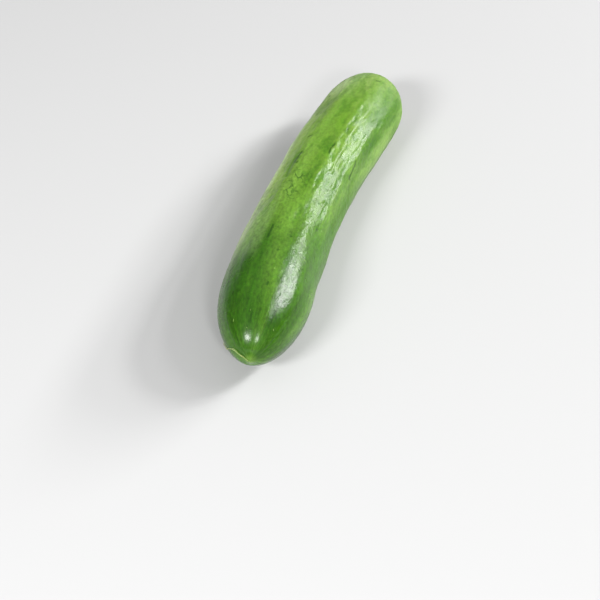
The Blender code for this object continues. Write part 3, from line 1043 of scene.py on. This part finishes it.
tree, size = new_tree("flower_thread", THREAD_SIZES)
skin = add(tree, "GeometryNodeObjectInfo", {"Object": fruit}, "Geometry")
out_of_skin = add(tree, "GeometryNodeInputNormal")
outline = half_outline(tree, size)
strands = add(tree, "GeometryNodeJoinGeometry")
for first, last, radius, stray, part in STRANDS:
    line, share = stepped_line(tree, size["Thread points"])
    along = add(tree, "ShaderNodeMapRange", {"Value": share, "To Min": first, "To Max": last})
    line = keep_on_points(tree, line, (("along", along, "FLOAT"),))

    # Its route over the skin
    run = add(tree, "ShaderNodeMapRange", {
        "Value": along, "To Min": size["Thread start"], "To Max": size["Thread end"],
    }, clamp=False)
    way = add(tree, "ShaderNodeMath", (run, size["Outline length"]), operation="DIVIDE")
    station, distance = outline_place(tree, outline, way)
    swing = add(tree, "ShaderNodeMapRange", {
        "Value": along, "From Min": size["Swing from"], "From Max": size["Swing by"], "To Max": size["Swing"],
    }, interpolation_type="SMOOTHSTEP")
    angle = add(tree, "ShaderNodeMath", (swing, size["Start angle"]))
    route = bent_point(tree, size, straight_point(tree, station, distance, angle))

    # It crinkles, strays more towards its end, and lifts off the skin here and there
    noise_place = add(tree, "ShaderNodeCombineXYZ", {"X": run, "Y": part})
    crinkle = centred_noise(tree, noise_place, *CRINKLES)
    astray = add(tree, "ShaderNodeMapRange", {
        "Value": along, "From Min": size["Stray from"], "To Max": stray,
    }, interpolation_type="SMOOTHSTEP")
    reach = add(tree, "ShaderNodeMath", (size["Crinkle"], astray))
    shift = add(tree, "ShaderNodeVectorMath", {0: crinkle, "Scale": reach}, operation="SCALE")
    strayed = add(tree, "ShaderNodeVectorMath", (route, shift))
    on_skin = add(tree, "GeometryNodeProximity", {
        "Geometry": skin, "Sample Position": strayed,
    }, "Position", target_element="FACES")
    normal = add(tree, "GeometryNodeSampleNearestSurface", {
        "Mesh": skin, "Value": out_of_skin, "Sample Position": strayed,
    }, "Value", data_type="FLOAT_VECTOR")
    loose = add(tree, "ShaderNodeTexNoise", {"Vector": noise_place, **LOOSE_NOISE})
    lift = add(tree, "ShaderNodeMapRange", {
        "Value": loose, **LOOSE_EDGES, "To Min": STRAND_CLOSE * radius, "To Max": size["Lift"],
    })
    raised = add(tree, "ShaderNodeVectorMath", {0: normal, "Scale": lift}, operation="SCALE")
    place = add(tree, "ShaderNodeVectorMath", (on_skin, raised))
    line = add(tree, "GeometryNodeSetPosition", {"Geometry": line, "Position": place})
    taper = add(tree, "ShaderNodeMapRange", {
        "Value": share, "From Min": size["Taper from"], "To Min": radius, "To Max": STRAND_TIP * radius,
    })
    ring = add(tree, "GeometryNodeCurvePrimitiveCircle", {"Resolution": size["Thread sides"], "Radius": 1.0})
    tube = add(tree, "GeometryNodeCurveToMesh", {
        "Curve": line, "Profile Curve": ring, "Scale": taper, "Fill Caps": True,
    })
    tree.links.new(tube, strands.node.inputs["Geometry"])
here = add(tree, "GeometryNodeInputPosition")
shrivel = add(tree, "ShaderNodeTexNoise", {"Vector": here, **SHRIVEL_NOISE})
depth = add(tree, "ShaderNodeMapRange", {"Value": shrivel, **SHRIVEL_DEPTHS})
straw = straw_material()
thread = grow("flower_strands", tree, THREAD_SIZES, push_out(tree, strands, depth), straw)
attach(thread, "root")
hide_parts("flower_thread")

# Petal flecks. Crumbs of the dried petals stick to the skin by the blossom end, thin chips
# less than a millimetre long and of the same stuff as the thread.
FLECK_SIZES = {
    "Shortest": 0.00035,
    "Longest": 0.00095,
    "Width": 0.24,
    "Thickness": 0.14,
    "Curl": 0.35,
    "Torn edge": 0.0002,
}

# How far they tilt on the skin at most, and how ragged their edges are: to a metre, and detail
FLECK_TILT = 0.3
FLECK_RAGS = (4000.0, 1.0)

# Their places, in the same terms as the folds: those that show in the photograph, and how
# many more are drawn, between which stations and angles
SEEN_FLECKS = ((0.0111, 84), (0.0089, 54), (0.0274, 102), (0.0075, 129))
MORE_FLECKS = 7
FLECK_STATIONS = (0.005, 0.040)
FLECK_ANGLES = (-60, 240)
FLECK_SEED = 5


def fleck_places():
    """Points on the skin as a mesh, with the skin's normal at each."""
    draw = random.Random(FLECK_SEED)
    places = list(SEEN_FLECKS)
    places += [(draw.uniform(*FLECK_STATIONS), draw.uniform(*FLECK_ANGLES)) for _ in range(MORE_FLECKS)]
    bend_radius = BODY_SIZES["Length"] / BODY_SIZES["Bend"]
    points, normals = [], []
    for station, angle in places:
        heading = BODY_SIZES["Bend"] * (station / BODY_SIZES["Length"] - 0.5)
        on_axis = FRUIT_MIDDLE + Vector((
            bend_radius * math.sin(heading),
            -bend_radius * (1.0 - math.cos(heading)),
            BODY_SIZES["Waist radius"],
        ))
        across = Vector((math.sin(heading), math.cos(heading), 0.0))
        outwards = across * math.cos(math.radians(angle)) + Vector((0.0, 0.0, math.sin(math.radians(angle))))
        _, point, normal, _ = fruit.ray_cast(on_axis, outwards)
        points.append(point)
        normals.append(normal)
    mesh = bpy.data.meshes.new("fleck_places")
    mesh.from_pydata(points, [], [])
    kept = mesh.attributes.new("skin_normal", "FLOAT_VECTOR", "POINT")
    kept.data.foreach_set("vector", [value for normal in normals for value in normal])
    return bpy.data.objects.new("fleck_places", mesh)


fleck_points = fleck_places()
tree, size = new_tree("petal_flecks", FLECK_SIZES)
points = add(tree, "GeometryNodeObjectInfo", {"Object": fleck_points}, "Geometry")

# A chip is a ball pressed narrow and thin, and curled
chip = add(tree, "GeometryNodeMeshIcoSphere", {"Radius": 0.5, "Subdivisions": 3})
here = add(tree, "GeometryNodeInputPosition")
x, y, z = add(tree, "ShaderNodeSeparateXYZ", (here,)).node.outputs
square = add(tree, "ShaderNodeMath", (x, x), operation="MULTIPLY")
curled = add(tree, "ShaderNodeMath", (square, size["Curl"]), operation="MULTIPLY")
thin = add(tree, "ShaderNodeMath", (z, size["Thickness"], curled), operation="MULTIPLY_ADD")
narrow = add(tree, "ShaderNodeMath", (y, size["Width"]), operation="MULTIPLY")
shape = add(tree, "ShaderNodeCombineXYZ", {"X": x, "Y": narrow, "Z": thin})
chip = add(tree, "GeometryNodeSetPosition", {"Geometry": chip, "Position": shape})

# Each lies flat on the skin, turned and sized by chance, with a torn edge
skin_normal = add(tree, "GeometryNodeInputNamedAttribute", {"Name": "skin_normal"}, data_type="FLOAT_VECTOR")
upright = add(tree, "FunctionNodeAlignRotationToVector", {"Vector": skin_normal}, axis="Z")
spin = add(tree, "FunctionNodeRandomValue", {
    "Min": (0.0, 0.0, 0.0), "Max": (FLECK_TILT, FLECK_TILT, math.tau), "Seed": FLECK_SEED,
}, "Value", data_type="FLOAT_VECTOR")
turned = add(tree, "FunctionNodeRotateRotation", {
    "Rotation": upright, "Rotate By": spin,
}, rotation_space="LOCAL")
length = add(tree, "FunctionNodeRandomValue", {
    2: size["Shortest"], 3: size["Longest"], "Seed": FLECK_SEED,
}, 1, data_type="FLOAT")
chips = add(tree, "GeometryNodeInstanceOnPoints", {
    "Points": points, "Instance": chip, "Rotation": turned, "Scale": length,
})
real = add(tree, "GeometryNodeRealizeInstances", {"Geometry": chips})
ragged = centred_noise(tree, here, *FLECK_RAGS)
torn = add(tree, "ShaderNodeVectorMath", {0: ragged, "Scale": size["Torn edge"]}, operation="SCALE")
ragged_chips = add(tree, "GeometryNodeSetPosition", {"Geometry": real, "Offset": torn})
flecks = grow("petal_flecks", tree, FLECK_SIZES, ragged_chips, straw)
bpy.data.objects.remove(fleck_points)
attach(flecks, "root")

# Floor and light. A plain pale surface in a white room that is brighter overhead. Three soft
# boxes behind the fruit, to its right, follow one another along it for the long highlight,
# and two small ones in front of it give the two bright spots on the tip.
FLOOR_SIZE = 6.0
FLOOR_BOARD = {"Base Color": linear("c4c4c4"), "Roughness": 0.9, "Specular IOR Level": 0.15}

bpy.ops.mesh.primitive_plane_add(size=FLOOR_SIZE)
floor = bpy.context.object
floor.name = "floor"
board, _, _ = new_material("matte_white_board", FLOOR_BOARD)
floor.data.materials.append(board)

# Soft boxes: name, azimuth and elevation in degrees, distance, width, height, and watts
SOFT_BOXES = (
    ("key", -44.0, 24.3, 1.50, 0.72, 0.16, 15.0),
    ("key_middle", -60.6, 37.2, 1.50, 0.34, 0.16, 10.0),
    ("key_end", -77.9, 48.3, 1.50, 0.45, 0.12, 3.2),
    ("front_left", 164.5, 38.5, 0.90, 0.13, 0.28, 5.4),
    ("front_right", -149.0, 38.0, 0.90, 0.10, 0.12, 2.0),
)
for name, azimuth, elevation, distance, width, height, power in SOFT_BOXES:
    light = bpy.data.lights.new(name, "AREA")
    light.shape = "RECTANGLE"
    light.size = width
    light.size_y = height
    light.energy = power
    box = bpy.data.objects.new(name, light)
    flat = math.cos(math.radians(elevation))
    towards = Vector((
        flat * math.cos(math.radians(azimuth)),
        flat * math.sin(math.radians(azimuth)),
        math.sin(math.radians(elevation)),
    ))
    beside = towards.cross(Vector((1.0, 0.0, 0.0))).normalized()
    box.matrix_world = Matrix((beside.cross(towards), beside, towards)).transposed().to_4x4()
    box.location = towards * distance
    bpy.context.scene.collection.objects.link(box)

# The room's light, from its walls to overhead
ROOM_LIGHT = {"From Min": 0.05, "To Min": 0.12, "To Max": 0.44}
world = bpy.data.worlds.new("white_room")
world.use_nodes = True
tree = world.node_tree
direction = add(tree, "ShaderNodeTexCoord", (), "Generated")
height = add(tree, "ShaderNodeSeparateXYZ", (direction,), "Z")
strength = add(tree, "ShaderNodeMapRange", {"Value": height, **ROOM_LIGHT}, interpolation_type="SMOOTHSTEP")
background = tree.nodes["Background"]
background.inputs["Color"].default_value = (1.0, 1.0, 1.0, 1.0)
tree.links.new(strength, background.inputs["Strength"])
bpy.context.scene.world = world
bpy.context.scene.view_settings.view_transform = "Standard"
